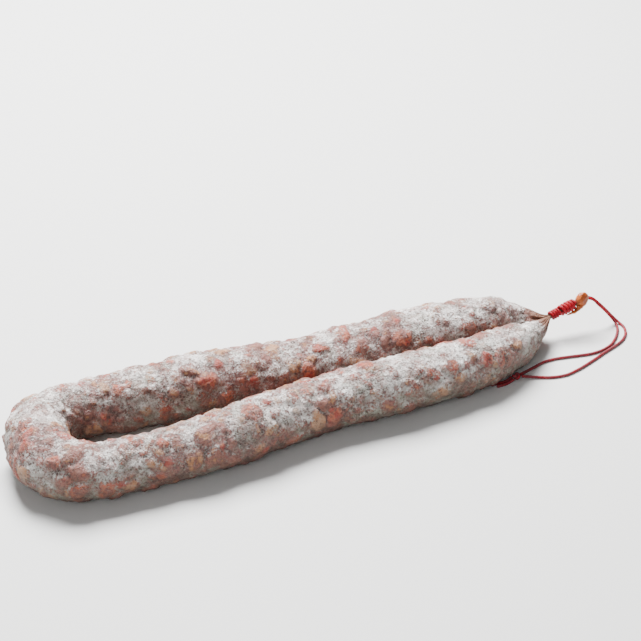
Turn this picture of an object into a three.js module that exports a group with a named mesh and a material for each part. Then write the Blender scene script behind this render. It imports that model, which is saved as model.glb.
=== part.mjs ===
// A dry-cured sausage folded in two. It lies on its side, and red twine binds its gathered ends
// together and runs on as a doubled hanging loop that has fallen beside it.
// Millimetres, +Z up. X runs from the fold (-X) to the bound ends (+X), and the far leg lies at +Y.
// Shapes are laid out from the binding, which is at x = 0, y = 0, and the finished group is then
// moved so that its origin is under the middle of the sausage, on the surface that it rests on.
import * as THREE from "three";

// ---- Sausage: driving dimensions ----
const LEG_LENGTH = 294; // from the binding to the middle of the fold's bend
const NEAR_LEG_RADIUS = 16.2;
const FAR_LEG_RADIUS = 18.2;
const FOLD_RADIUS = 18.2; // radius of the meat at the middle of the fold
const FOLD_SQUARENESS = 0.86; // 1 is a round fold, and less is squarer
const OPENING_WIDTH = 27; // clear width between the legs at the fold
const OPENING_LENGTH = 172; // from the middle of the bend to where the legs meet
const CONTACT_FLAT = 0.5; // depth of the flats where the meat presses on the table or the other leg
const LUMP_HEIGHT = 0.55; // how far the coarse meat bulges out
const NECK_RADIUS = 0.8; // one gathered neck of dry casing, inside the binding
const KNOB_RADIUS = 4.1; // the dry casing folded over into a knob past the binding
const KNOB_LENGTH = 8.6;

// ---- Binding and twine: driving dimensions ----
const TWINE_DIAMETER = 1.5;
const GAP = 0.3; // clearance between pieces, and between the legs
const BINDING_HEIGHT = 14; // height of the binding's start
const BINDING_SLOPE = 0.27; // the stiff ends rise by this much for each millimetre
const SLOPED_NECK = 6; // length of neck before the binding that shares its slope
const COIL_START = 1;
const COIL_TURNS = 2.5;
const BARE_NECK = 2.5; // from the coil's last turn to the hitch's first
const HITCH_TURNS = 3.5;
const HITCH_SLACK = 0.8; // room between the hitch's turns
const HITCH_BULGE = 0.6; // how much wider the hitch's winding is at its middle
const KNOB_CLEARANCE = 1.2; // from the hitch to the knob
const LOOP_KNOT_SIZE = new THREE.Vector3(6.2, 5.0, 4.4);
const LOBE_DEPTH = 0.12; // of the loop knot, as a share of its radius
const LOOP_KNOT_CENTRE = new THREE.Vector3(-68.4, -32.9, 2.3);

// ---- Fineness ----
const SAUSAGE_SIDES = 24;
const LONGEST_STEP = 7.6;
const SHORTEST_STEP = 2.4;
const STEP_GROWTH = 0.14; // the steps lengthen by this share of the distance from the binding
const FOLD_STEPS = 14;
const NECK_STEPS = 4;
const KNOB_STEPS = 7;
const TWINE_SIDES = 8;
const STEPS_PER_TURN = 16;

// ---- Shape of the legs, as [place, value] pairs joined by a smooth curve ----
// Line that parts the legs: place as a share of the leg from the fold to the binding, value in mm.
const PARTING_LINE = [[0, -3.3], [0.2, -9], [0.4, -8.5], [0.6, -12], [0.76, -11.5], [0.9, -4], [1, 0]];
// Fullness: the same place, value as a share of the leg's radius.
const NEAR_FULLNESS = [[0, 0.96], [0.1, 0.945], [0.2, 1], [0.32, 1.02], [0.45, 0.995], [0.56, 1.05],
  [0.66, 1.01], [0.76, 0.99], [1, 0.99]];
const FAR_FULLNESS = [[0, 0.9], [0.14, 0.96], [0.24, 1.025], [0.34, 0.985], [0.42, 0.955], [0.51, 1],
  [0.61, 1.05], [0.74, 1.03], [1, 1]];
// Taper: place in mm before the binding, value as a share of the full radius there.
const NEAR_TAPER = [[0, 0], [5, 0.12], [12, 0.31], [23, 0.58], [34, 0.78], [50, 0.92], [75, 1]];
const FAR_TAPER = [[0, 0], [5, 0.12], [12, 0.34], [24, 0.64], [38, 0.83], [56, 0.93], [80, 0.99], [100, 1]];

const NEAR_LEG = { side: -1, radius: NEAR_LEG_RADIUS, fullness: NEAR_FULLNESS, taper: NEAR_TAPER };
const FAR_LEG = { side: 1, radius: FAR_LEG_RADIUS, fullness: FAR_FULLNESS, taper: FAR_TAPER };

// ---- Sizes that follow from the ones above ----
// Distance of a round length's centre from the face that it presses on.
const pressedRadius = (radius) => Math.max(radius - CONTACT_FLAT, radius * 0.4);
const coreRadius = GAP / 2 + pressedRadius(NECK_RADIUS) + NECK_RADIUS;
const windingRadius = coreRadius + GAP + TWINE_DIAMETER / 2;
const coilPitch = TWINE_DIAMETER + GAP;
const hitchPitch = TWINE_DIAMETER + HITCH_SLACK;
const hitchStart = COIL_START + COIL_TURNS * coilPitch + BARE_NECK;
const hitchEnd = hitchStart + HITCH_TURNS * hitchPitch + TWINE_DIAMETER / 2;
const knobStart = hitchEnd + KNOB_CLEARANCE;
const knobEnd = knobStart + KNOB_LENGTH;

// ---- Routes of the free twine, chosen by hand: X is from the knob's end, Y from the binding ----
const STRAND_A_ROUTE = [[0.3, 0.95, 20.3], [3.6, 0.3, 18.8], [7, -1.2, 15.6], [9.9, -2.1, 12.5],
  [12.6, -2.8, 9.4], [15.3, -3.3, 6.2], [17.6, -4.2, 3.5], [19.3, -6.3, 1.6], [20, -9, 0.9],
  [19.8, -12.2, 0.9], [18.6, -15.6, 0.9], [16, -19.8, 0.9], [12, -23.6, 0.9], [7.2, -26.4, 0.9],
  [2, -28.6, 0.9], [-5.4, -31.2, 0.9], [-13.2, -34.3, 0.9], [-21.6, -37.5, 0.9], [-30.6, -40.5, 0.9],
  [-40.1, -42.3, 0.9], [-48.6, -40.9, 0.9], [-56.2, -37.4, 1], [-65.1, -33.7, 2]];
const STRAND_B_ROUTE = [[0.3, -0.95, 20.3], [3.3, -1.6, 18.8], [6.1, -2.9, 15.6], [9, -3.8, 12.5],
  [11.7, -4.5, 9.4], [14.2, -5.1, 6.2], [16.2, -5.9, 3.5], [17, -7.6, 1.6], [16.2, -10.4, 0.9],
  [14.2, -13.8, 0.9], [11.4, -17.4, 0.9], [7.8, -21.2, 0.9], [1.6, -25.9, 0.9], [-5.9, -28.6, 0.9],
  [-13.8, -29.2, 0.9], [-21.7, -27.8, 0.9], [-29.2, -26.1, 0.9], [-37.2, -24.7, 0.9],
  [-45.1, -24.9, 0.9], [-53.6, -27.6, 1], [-65.2, -31.7, 2]];
const TAIL_A_ROUTE = [[-71.6, -32.3, 1.9], [-74.8, -32.9, 1.1], [-78.2, -33, 0.9], [-85.1, -32.6, 0.9]];
const TAIL_B_ROUTE = [[-71.3, -34.3, 1.9], [-75, -35.1, 1.1], [-78.1, -35.6, 0.9], [-82.8, -35.5, 0.9]];

// ---- Small helpers ----
const mix = (a, b, share) => a + (b - a) * share;

// The larger of two lengths, with the corner between them rounded off over about a millimetre.
const softMax = (a, b) => (a + b + Math.hypot(a - b, 1)) / 2;

// Value of a list of [place, value] pairs at a place, on a smooth curve through the pairs.
function valueAt(pairs, place) {
  const last = pairs.length - 1;
  if (place <= pairs[0][0]) return pairs[0][1];
  if (place >= pairs[last][0]) return pairs[last][1];
  const next = pairs.findIndex((pair) => pair[0] > place);
  const [[x0, y0], [x1, y1]] = [pairs[next - 1], pairs[next]];
  const slopeAt = (i) => {
    const [before, after] = [pairs[Math.max(i - 1, 0)], pairs[Math.min(i + 1, last)]];
    return (after[1] - before[1]) / (after[0] - before[0]);
  };
  const width = x1 - x0;
  const t = (place - x0) / width;
  const ease = t * t * (3 - 2 * t);
  const bend = t * (1 - t) * width;
  return mix(y0, y1, ease) + bend * ((1 - t) * slopeAt(next - 1) - t * slopeAt(next));
}

const bindingZ = (x) => BINDING_HEIGHT + BINDING_SLOPE * x;

// ---- Sausage ----
const partingY = (x) => valueAt(PARTING_LINE, 1 + x / LEG_LENGTH);

// Half the clear width between the legs at a distance x before the binding (x is negative).
function halfOpening(x) {
  const closed = THREE.MathUtils.smoothstep((LEG_LENGTH + x) / OPENING_LENGTH, 0, 1);
  return mix(OPENING_WIDTH / 2, GAP / 2, closed);
}

// One ring's centre and radius on a leg, at a distance before the binding.
function legStation(leg, distance) {
  const full = leg.radius * valueAt(leg.fullness, 1 - distance / LEG_LENGTH);
  const radius = mix(NECK_RADIUS, full, valueAt(leg.taper, distance));
  const y = partingY(-distance) + leg.side * (halfOpening(-distance) + pressedRadius(radius));
  const z = softMax(radius - CONTACT_FLAT, bindingZ(-Math.min(distance, SLOPED_NECK)));
  return { centre: new THREE.Vector3(-distance, y, z), radius, side: leg.side };
}

// Stations of a leg from the binding to the fold, closer together where the leg tapers.
function legStations(leg) {
  const stations = [];
  let distance = 0;
  while (distance < LEG_LENGTH - SHORTEST_STEP) {
    stations.push(legStation(leg, distance));
    distance += Math.min(LONGEST_STEP, SHORTEST_STEP + STEP_GROWTH * distance);
  }
  return stations;
}

const squared = (share) => Math.sign(share) * Math.abs(share) ** FOLD_SQUARENESS;

// Stations round the fold, from the near leg to the far leg.
function foldStations() {
  const [near, far] = [legStation(NEAR_LEG, LEG_LENGTH), legStation(FAR_LEG, LEG_LENGTH)];
  const middle = near.centre.clone().add(far.centre).divideScalar(2);
  const bendRadius = near.centre.distanceTo(far.centre) / 2;
  const stations = [];
  for (let i = 0; i <= FOLD_STEPS; i++) {
    const angle = (Math.PI * i) / FOLD_STEPS;
    const ends = mix(near.radius, far.radius, i / FOLD_STEPS);
    const radius = mix(ends, FOLD_RADIUS, Math.sin(angle) ** 2);
    const x = middle.x - bendRadius * squared(Math.sin(angle));
    const y = middle.y - bendRadius * squared(Math.cos(angle));
    stations.push({ centre: new THREE.Vector3(x, y, radius - CONTACT_FLAT), radius, side: 0 });
  }
  return stations;
}

// A gathered neck inside the binding, from its start to the knob.
function neckStations(side) {
  const end = knobStart - KNOB_CLEARANCE / 2;
  const stations = [];
  for (let i = 1; i <= NECK_STEPS; i++) {
    const x = (end * i) / NECK_STEPS;
    const centre = new THREE.Vector3(x, side * (GAP / 2 + pressedRadius(NECK_RADIUS)), bindingZ(x));
    stations.push({ centre, radius: NECK_RADIUS, side });
  }
  return stations;
}

// The knob of folded casing that the far neck ends in: an egg with a shallow waist.
function knobStations() {
  const stations = [];
  for (let i = 1; i < KNOB_STEPS; i++) {
    const turn = (Math.PI * i) / KNOB_STEPS;
    const x = knobStart + (KNOB_LENGTH * (1 - Math.cos(turn))) / 2;
    const centre = new THREE.Vector3(x, 0, bindingZ(x));
    stations.push({ centre, radius: KNOB_RADIUS * Math.sin(turn), side: 0 });
  }
  return stations;
}

// Height of the coarse lumps at a distance along the sausage and an angle round it.
function lump(along, angle) {
  const broad = Math.sin(0.21 * along + 2 * angle) * Math.cos(0.13 * along - angle);
  const fine = Math.sin(0.34 * along - 3 * angle + 1) * Math.cos(0.27 * along + 2 * angle);
  return LUMP_HEIGHT * (0.6 * broad + 0.6 * fine);
}

// One ring of points round a station, flattened on the table and on the face between the legs.
function ringPoints(station, tangent, along) {
  const across = new THREE.Vector3(0, 0, 1).cross(tangent).normalize();
  const upwards = new THREE.Vector3().crossVectors(tangent, across);
  const fullness = Math.min(1, station.radius / NEAR_LEG_RADIUS) ** 2;
  const points = [];
  for (let i = 0; i < SAUSAGE_SIDES; i++) {
    const angle = (2 * Math.PI * i) / SAUSAGE_SIDES - Math.PI / 2;
    const radius = station.radius + fullness * lump(along, angle);
    const point = station.centre.clone();
    point.addScaledVector(across, radius * Math.cos(angle));
    point.addScaledVector(upwards, radius * Math.sin(angle));
    point.z = Math.max(point.z, 0);
    const face = partingY(point.x) + (station.side * GAP) / 2;
    if (station.side < 0) point.y = Math.min(point.y, face);
    if (station.side > 0) point.y = Math.max(point.y, face);
    points.push(point);
  }
  return points;
}

// Closed skin over a row of rings, with a point at each end.
function loftGeometry(rings, firstTip, lastTip) {
  const points = [...rings.flat(), firstTip, lastTip];
  const sides = rings[0].length;
  const last = rings.length - 1;
  const faces = [];
  for (let side = 0; side < sides; side++) {
    const next = (side + 1) % sides;
    for (let ring = 0; ring < last; ring++) {
      const [a, b] = [ring * sides + side, ring * sides + next];
      faces.push(a, b, b + sides, a, b + sides, a + sides);
    }
    faces.push(points.length - 2, next, side);
    faces.push(points.length - 1, last * sides + side, last * sides + next);
  }
  const geometry = new THREE.BufferGeometry().setFromPoints(points);
  geometry.setIndex(faces);
  geometry.computeVertexNormals();
  return geometry;
}

function sausageGeometry() {
  const stations = [...neckStations(-1).reverse(), ...legStations(NEAR_LEG), ...foldStations(),
    ...legStations(FAR_LEG).reverse(), ...neckStations(1), ...knobStations()];
  let along = 0;
  const rings = stations.map((station, i) => {
    const before = stations[Math.max(i - 1, 0)].centre;
    const after = stations[Math.min(i + 1, stations.length - 1)].centre;
    along += i > 0 ? station.centre.distanceTo(before) : 0;
    return ringPoints(station, after.clone().sub(before).normalize(), along);
  });
  const firstTip = stations[0].centre.clone().add(new THREE.Vector3(0.4, 0, 0));
  return loftGeometry(rings, firstTip, new THREE.Vector3(knobEnd, 0, bindingZ(knobEnd)));
}

// ---- Twine ----
// A winding round the X axis whose radius swells towards its middle.
class Winding extends THREE.Curve {
  constructor(radius, bulge, turns, pitch) {
    super();
    Object.assign(this, { radius, bulge, turns, pitch });
  }

  getPoint(t, target = new THREE.Vector3()) {
    const angle = 2 * Math.PI * this.turns * t;
    const radius = this.radius + this.bulge * Math.sin(Math.PI * t);
    return target.set(this.turns * this.pitch * t, radius * Math.cos(angle), radius * Math.sin(angle));
  }
}

function tubeGeometry(curve, steps) {
  const section = new THREE.Shape();
  section.absarc(0, 0, TWINE_DIAMETER / 2, 0, 2 * Math.PI);
  const options = { extrudePath: curve, steps, curveSegments: TWINE_SIDES / 2, bevelEnabled: false };
  return new THREE.ExtrudeGeometry(section, options);
}

function windingMesh(name, material, curve, start) {
  const mesh = addMesh(name, tubeGeometry(curve, Math.ceil(curve.turns * STEPS_PER_TURN)), material);
  mesh.position.set(start, 0, bindingZ(start));
  mesh.rotation.y = -Math.atan(BINDING_SLOPE);
}

// A free run of twine through hand-chosen points, one step for about each three diameters.
function cordMesh(name, material, route) {
  const points = route.map(([x, y, z]) => new THREE.Vector3(knobEnd + x, y, z));
  const curve = new THREE.CatmullRomCurve3(points);
  const steps = Math.ceil(curve.getLength() / (3 * TWINE_DIAMETER));
  addMesh(name, tubeGeometry(curve, steps), material);
}

// The knot that joins the two strands: a ball of twine with three lobes round it.
function loopKnotGeometry() {
  const geometry = new THREE.SphereGeometry(0.5, 16, 12);
  const position = geometry.attributes.position;
  const point = new THREE.Vector3();
  for (let i = 0; i < position.count; i++) {
    point.fromBufferAttribute(position, i);
    const wave = Math.cos(3 * Math.atan2(point.y, point.x)) * (1 - 4 * point.z ** 2);
    const lobes = 1 - LOBE_DEPTH * (1 - wave) / 2;
    point.multiplyScalar(lobes).multiply(LOOP_KNOT_SIZE).add(LOOP_KNOT_CENTRE);
    position.setXYZ(i, knobEnd + point.x, point.y, point.z);
  }
  geometry.computeVertexNormals();
  return geometry;
}

// ---- Assembly ----
const layout = new THREE.Group();

function addMesh(name, geometry, material) {
  const mesh = new THREE.Mesh(geometry, material);
  mesh.name = name;
  layout.add(mesh);
  return mesh;
}

const dullMaterial = (color, roughness) => new THREE.MeshStandardMaterial({ color, roughness, metalness: 0 });
const twineMaterial = () => dullMaterial(0xa8182c, 0.6);
const casingMaterial = dullMaterial(0xb39a8d, 0.8);

const sausage = addMesh("sausage", sausageGeometry(), casingMaterial);
const coil = new Winding(windingRadius, 0, COIL_TURNS, coilPitch);
const hitch = new Winding(windingRadius, HITCH_BULGE, HITCH_TURNS, hitchPitch);
windingMesh("binding_coil", twineMaterial(), coil, COIL_START);
windingMesh("binding_hitch", twineMaterial(), hitch, hitchStart);
cordMesh("twine_strand_a", twineMaterial(), STRAND_A_ROUTE);
cordMesh("twine_strand_b", twineMaterial(), STRAND_B_ROUTE);
addMesh("loop_knot", loopKnotGeometry(), twineMaterial());
cordMesh("twine_tail_a", twineMaterial(), TAIL_A_ROUTE);
cordMesh("twine_tail_b", twineMaterial(), TAIL_B_ROUTE);

const bodyBox = new THREE.Box3().setFromObject(sausage);
const middle = bodyBox.getCenter(new THREE.Vector3());
layout.position.set(-middle.x, -middle.y, 0);

const object = new THREE.Group();
object.add(layout);

export default object;
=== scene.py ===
"""Looks of a dry-cured sausage, folded in two, whose gathered ends are bound with red twine.

Everything is in metres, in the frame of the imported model: X runs from the fold towards the bound
ends, Y from the leg with the twine beside it towards the other leg, and Z is up from the table.
"""

import logging
import math
from dataclasses import dataclass
from enum import Enum
from typing import Iterable, Sequence

import bpy
from mathutils import Matrix, Vector, geometry, noise
from mathutils.bvhtree import BVHTree

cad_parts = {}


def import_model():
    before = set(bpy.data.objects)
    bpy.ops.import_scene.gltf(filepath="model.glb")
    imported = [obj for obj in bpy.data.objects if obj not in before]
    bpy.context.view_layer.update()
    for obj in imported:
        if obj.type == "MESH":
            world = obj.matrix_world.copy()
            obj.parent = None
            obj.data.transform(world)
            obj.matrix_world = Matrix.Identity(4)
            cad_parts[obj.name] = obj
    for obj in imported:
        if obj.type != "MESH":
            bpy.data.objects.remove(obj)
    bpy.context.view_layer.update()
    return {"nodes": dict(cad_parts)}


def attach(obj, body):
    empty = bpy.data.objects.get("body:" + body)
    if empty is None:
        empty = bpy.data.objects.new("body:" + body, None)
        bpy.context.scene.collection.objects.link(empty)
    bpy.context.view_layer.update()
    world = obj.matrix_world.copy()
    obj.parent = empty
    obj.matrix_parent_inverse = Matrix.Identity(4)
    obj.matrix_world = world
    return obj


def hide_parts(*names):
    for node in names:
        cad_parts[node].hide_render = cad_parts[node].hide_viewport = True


LOG = logging.getLogger("cured_sausage")
MM = 0.001
ROOT_BODY = "root"
NOISE_SEED = 7

# The binding starts here, and its axis rises towards the knob of casing at its far end.
BINDING_START = Vector((157.17, 4.22, 14.0)) * MM
BINDING_SLOPE = 0.27
KNOB_END_X = 183.8 * MM
TWINE_DIAMETER = 1.5 * MM

# Routes of the free twine in mm: X is from the knob's end, Y from the binding's start, Z up.
STRAND_A_ROUTE = [
    (0.3, 0.95, 20.3), (3.6, 0.3, 18.8), (7, -1.2, 15.6), (9.9, -2.1, 12.5), (12.6, -2.8, 9.4),
    (15.3, -3.3, 6.2), (17.6, -4.2, 3.5), (19.3, -6.3, 1.6), (20, -9, 0.9), (19.8, -12.2, 0.9),
    (18.6, -15.6, 0.9), (16, -19.8, 0.9), (12, -23.6, 0.9), (7.2, -26.4, 0.9), (2, -28.6, 0.9),
    (-5.4, -31.2, 0.9), (-13.2, -34.3, 0.9), (-21.6, -37.5, 0.9), (-30.6, -40.5, 0.9),
    (-40.1, -42.3, 0.9), (-48.6, -40.9, 0.9), (-56.2, -37.4, 1), (-65.1, -33.7, 2),
]
STRAND_B_ROUTE = [
    (0.3, -0.95, 20.3), (3.3, -1.6, 18.8), (6.1, -2.9, 15.6), (9, -3.8, 12.5), (11.7, -4.5, 9.4),
    (14.2, -5.1, 6.2), (16.2, -5.9, 3.5), (17, -7.6, 1.6), (16.2, -10.4, 0.9), (14.2, -13.8, 0.9),
    (11.4, -17.4, 0.9), (7.8, -21.2, 0.9), (1.6, -25.9, 0.9), (-5.9, -28.6, 0.9),
    (-13.8, -29.2, 0.9), (-21.7, -27.8, 0.9), (-29.2, -26.1, 0.9), (-37.2, -24.7, 0.9),
    (-45.1, -24.9, 0.9), (-53.6, -27.6, 1), (-65.2, -31.7, 2),
]
TAIL_A_ROUTE = [(-71.6, -32.3, 1.9), (-74.8, -32.9, 1.1), (-78.2, -33, 0.9), (-85.1, -32.6, 0.9)]
TAIL_B_ROUTE = [(-71.3, -34.3, 1.9), (-75, -35.1, 1.1), (-78.1, -35.6, 0.9), (-82.8, -35.5, 0.9)]

# A point with this many edges is the tip that closes the solid, whose triangles stay.
TIP_SPOKES = 12

# What the casing's material reads from each point of a mesh.
SKIN_MARKS = ("lump", "kind", "hollow_shade", "neck", "knob", "crease_shade", "top")

Colour = tuple[float, float, float]


# ---- Working by hand: selection, copies and modifiers ----
def deselect_all() -> None:
    """Leave edit mode and clear the selection."""
    if bpy.context.object and bpy.context.object.mode != "OBJECT":
        bpy.ops.object.mode_set(mode="OBJECT")
    bpy.ops.object.select_all(action="DESELECT")


def take_up(piece: bpy.types.Object) -> None:
    """Make a piece the only selected and active one.

    Args:
        piece: The piece to work on.
    """
    deselect_all()
    piece.select_set(True)
    bpy.context.view_layer.objects.active = piece


def add_piece(name: str, data: bpy.types.ID) -> bpy.types.Object:
    """Put new object data in the scene.

    Args:
        name: The piece's name.
        data: A mesh or a curve.

    Returns:
        The new piece, active and alone in the selection.
    """
    piece = bpy.data.objects.new(name, data)
    bpy.context.scene.collection.objects.link(piece)
    take_up(piece)
    return piece


def apply_modifier(piece: bpy.types.Object, kind: str, **settings: object) -> None:
    """Add one modifier to a piece and apply it.

    Args:
        piece: The piece to change.
        kind: Blender's name for the modifier's type.
        **settings: The modifier's own properties.
    """
    take_up(piece)
    modifier = piece.modifiers.new(kind.title(), kind)
    for name, value in settings.items():
        setattr(modifier, name, value)
    bpy.ops.object.modifier_apply(modifier=modifier.name)


def dress(piece: bpy.types.Object, material: bpy.types.Material) -> None:
    """Give a piece its material, smooth shading and place in the frame.

    Args:
        piece: The piece to finish.
        material: Its only material.
    """
    piece.data.materials.clear()
    piece.data.materials.append(material)
    take_up(piece)
    bpy.ops.object.shade_smooth()
    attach(piece, ROOT_BODY)


def smoothstep(low: float, high: float, value: float) -> float:
    """Ease from 0 at low to 1 at high.

    Args:
        low: Where the easing begins.
        high: Where it ends; it may be below low.
        value: The value to read.

    Returns:
        The eased value, from 0 to 1.
    """
    share = min(max((value - low) / (high - low), 0.0), 1.0)
    return share * share * (3 - 2 * share)


def distance_to_run(place: Vector, run: Sequence[Vector]) -> float:
    """Distance from a point to a run of straight stretches.

    Args:
        place: The point.
        run: The run's points.

    Returns:
        The distance to the nearest stretch.
    """
    nearest = math.inf
    for first, second in zip(run, run[1:]):
        share = geometry.intersect_point_line(place, first, second)[1]
        foot = first.lerp(second, min(max(share, 0.0), 1.0))
        nearest = min(nearest, (place - foot).length)
    return nearest


def store_marks(mesh: bpy.types.Mesh, marks: dict[str, list[float]]) -> None:
    """Store values on a mesh's points for its material to read.

    Args:
        mesh: The mesh.
        marks: One value for each point, by name.
    """
    for name, values in marks.items():
        mesh.attributes.new(name, "FLOAT", "POINT").data.foreach_set("value", values)
    mesh.update()


# ---- Materials ----
class NodeBench:
    """Adds and joins the nodes of one shader tree."""

    def __init__(self, tree: bpy.types.NodeTree) -> None:
        """Start on an empty tree.

        Args:
            tree: The tree of a material or of a node group.
        """
        self.tree = tree
        tree.nodes.clear()

    def add(self, kind: str, **settings: object) -> bpy.types.Node:
        """Add one node.

        Args:
            kind: The node's type, without the ShaderNode in front.
            **settings: Properties of the node.

        Returns:
            The new node.
        """
        node = self.tree.nodes.new("ShaderNode" + kind)
        for name, value in settings.items():
            setattr(node, name, value)
        return node

    def feed(self, socket: bpy.types.NodeSocket, value: object) -> None:
        """Link an output to a socket, or set the socket's own value.

        Args:
            socket: The input.
            value: An output socket, a number or a colour.
        """
        if isinstance(value, bpy.types.NodeSocket):
            self.tree.links.new(value, socket)
        elif isinstance(value, tuple) and len(value) == 3 and socket.type == "RGBA":
            socket.default_value = (*value, 1.0)
        else:
            socket.default_value = value

    def combine(self, operation: str, first: object, second: object = 0.0) -> bpy.types.NodeSocket:
        """Combine two values by arithmetic.

        Args:
            operation: The Math node's operation.
            first: A socket or a number.
            second: A socket or a number.

        Returns:
            The result.
        """
        node = self.add("Math", operation=operation)
        self.feed(node.inputs[0], first)
        self.feed(node.inputs[1], second)
        return node.outputs[0]

    def ramp(self, value: object, low: object, high: object, start: float = 0.0,
             end: float = 1.0) -> bpy.types.NodeSocket:
        """Ease a value from start at low to end at high.

        Args:
            value: The value to read.
            low: Where the ramp begins.
            high: Where the ramp ends.
            start: The result at and before low.
            end: The result at and after high.

        Returns:
            The eased value.
        """
        node = self.add("MapRange", interpolation_type="SMOOTHSTEP")
        for socket, given in zip(node.inputs, (value, low, high, start, end)):
            self.feed(socket, given)
        return node.outputs[0]

    def blend(self, share: object, first: object, second: object) -> bpy.types.NodeSocket:
        """Mix two colours.

        Args:
            share: How much of the second colour shows.
            first: A colour or a socket.
            second: A colour or a socket.

        Returns:
            The mixed colour.
        """
        node = self.add("Mix", data_type="RGBA")
        self.feed(node.inputs["Factor"], share)
        self.feed(node.inputs[6], first)
        self.feed(node.inputs[7], second)
        return node.outputs[2]

    def cloud(self, vector: object, scale: object, detail: float = 3.0, roughness: float = 0.55,
              warp: float = 0.0) -> bpy.types.NodeSocket:
        """Noise over the surface.

        Args:
            vector: The coordinates.
            scale: Cycles in a metre.
            detail: Octaves.
            roughness: Strength of the fine octaves.
            warp: How far the pattern is pulled about.

        Returns:
            A value that is mostly from 0.3 to 0.7.
        """
        node = self.add("TexNoise")
        self.feed(node.inputs["Vector"], vector)
        self.feed(node.inputs["Scale"], scale)
        node.inputs["Detail"].default_value = detail
        node.inputs["Roughness"].default_value = roughness
        node.inputs["Distortion"].default_value = warp
        return node.outputs["Fac"]

    def cells(self, vector: object, scale: object) -> bpy.types.NodeSocket:
        """Rounded cells over the surface.

        Args:
            vector: The coordinates.
            scale: Cells in a metre.

        Returns:
            The distance to the middle of the cell.
        """
        node = self.add("TexVoronoi")
        self.feed(node.inputs["Vector"], vector)
        self.feed(node.inputs["Scale"], scale)
        return node.outputs["Distance"]

    def attribute(self, name: str) -> bpy.types.NodeSocket:
        """Read a value stored on the mesh's points.

        Args:
            name: The value's name.

        Returns:
            The value.
        """
        return self.add("Attribute", attribute_name=name).outputs["Fac"]

    def group(self, tree: bpy.types.NodeTree, **inputs: object) -> bpy.types.Node:
        """Place a node group and feed its inputs.

        Args:
            tree: The group's tree.
            **inputs: Values by input name, with _ for a space.

        Returns:
            The group node.
        """
        node = self.add("Group", node_tree=tree)
        for name, value in inputs.items():
            self.feed(node.inputs[name.replace("_", " ")], value)
        return node


class Port(Enum):
    """Kinds of socket on a node group."""

    VALUE = "NodeSocketFloat"
    COLOUR = "NodeSocketColor"
    VECTOR = "NodeSocketVector"


def new_group(name: str, inputs: dict[str, Port], outputs: dict[str, Port]) -> bpy.types.NodeTree:
    """Make an empty node group with named sockets.

    Args:
        name: The group's name.
        inputs: Kind of each input, by name.
        outputs: Kind of each output, by name.

    Returns:
        The group's tree.
    """
    tree = bpy.data.node_groups.new(name, "ShaderNodeTree")
    for way, ports in (("INPUT", inputs), ("OUTPUT", outputs)):
        for port, kind in ports.items():
            tree.interface.new_socket(name=port, in_out=way, socket_type=kind.value)
    return tree


def powdery_bloom_group() -> bpy.types.NodeTree:
    """Powder that lies in patches, streaks and single grains, with soft ragged edges.

    Returns:
        A group that turns coordinates and a cover from 0 to 1 into a mask.
    """
    tree = new_group(
        "powdery_bloom",
        {"Vector": Port.VECTOR, "Cover": Port.VALUE, "Patch Scale": Port.VALUE,
         "Grain Scale": Port.VALUE, "Softness": Port.VALUE},
        {"Mask": Port.VALUE},
    )
    bench = NodeBench(tree)
    given = tree.nodes.new("NodeGroupInput").outputs
    result = tree.nodes.new("NodeGroupOutput").inputs
    level = given["Cover"]
    for scale, detail, warp, weight in (
        (given["Patch Scale"], 2.0, 0.4, 1.0),
        (bench.combine("MULTIPLY", given["Patch Scale"], 3.7), 3.0, 1.2, 1.1),
        (given["Grain Scale"], 3.0, 0.5, 1.25),
    ):
        layer = bench.combine("SUBTRACT", bench.cloud(given["Vector"], scale, detail, 0.62, warp), 0.5)
        level = bench.combine("ADD", level, bench.combine("MULTIPLY", layer, weight))
    low = bench.combine("SUBTRACT", 0.5, given["Softness"])
    high = bench.combine("ADD", 0.5, given["Softness"])
    bench.feed(result["Mask"], bench.ramp(level, low, high))
    return tree


def mottle_group() -> bpy.types.NodeTree:
    """Two tones that run into each other in soft blotches.

    Returns:
        A group that turns coordinates and two colours into one colour.
    """
    tree = new_group(
        "mottle",
        {"Vector": Port.VECTOR, "Scale": Port.VALUE, "First": Port.COLOUR, "Second": Port.COLOUR},
        {"Color": Port.COLOUR},
    )
    bench = NodeBench(tree)
    given = tree.nodes.new("NodeGroupInput").outputs
    result = tree.nodes.new("NodeGroupOutput").inputs
    share = bench.ramp(bench.cloud(given["Vector"], given["Scale"], 3.0, 0.6, 0.3), 0.36, 0.64)
    bench.feed(result["Color"], bench.blend(share, given["First"], given["Second"]))
    return tree


def start_material(
    name: str,
) -> tuple[bpy.types.Material, NodeBench, bpy.types.NodeSocket, bpy.types.Node]:
    """Make a material with a Principled shader.

    Args:
        name: The material's name.

    Returns:
        The material, its bench, the object coordinates and the shader.
    """
    material = bpy.data.materials.new(name)
    material.use_nodes = True
    bench = NodeBench(material.node_tree)
    place = bench.add("TexCoord").outputs["Object"]
    shader = bench.add("BsdfPrincipled")
    bench.feed(bench.add("OutputMaterial").inputs["Surface"], shader.outputs["BSDF"])
    return material, bench, place, shader


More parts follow.
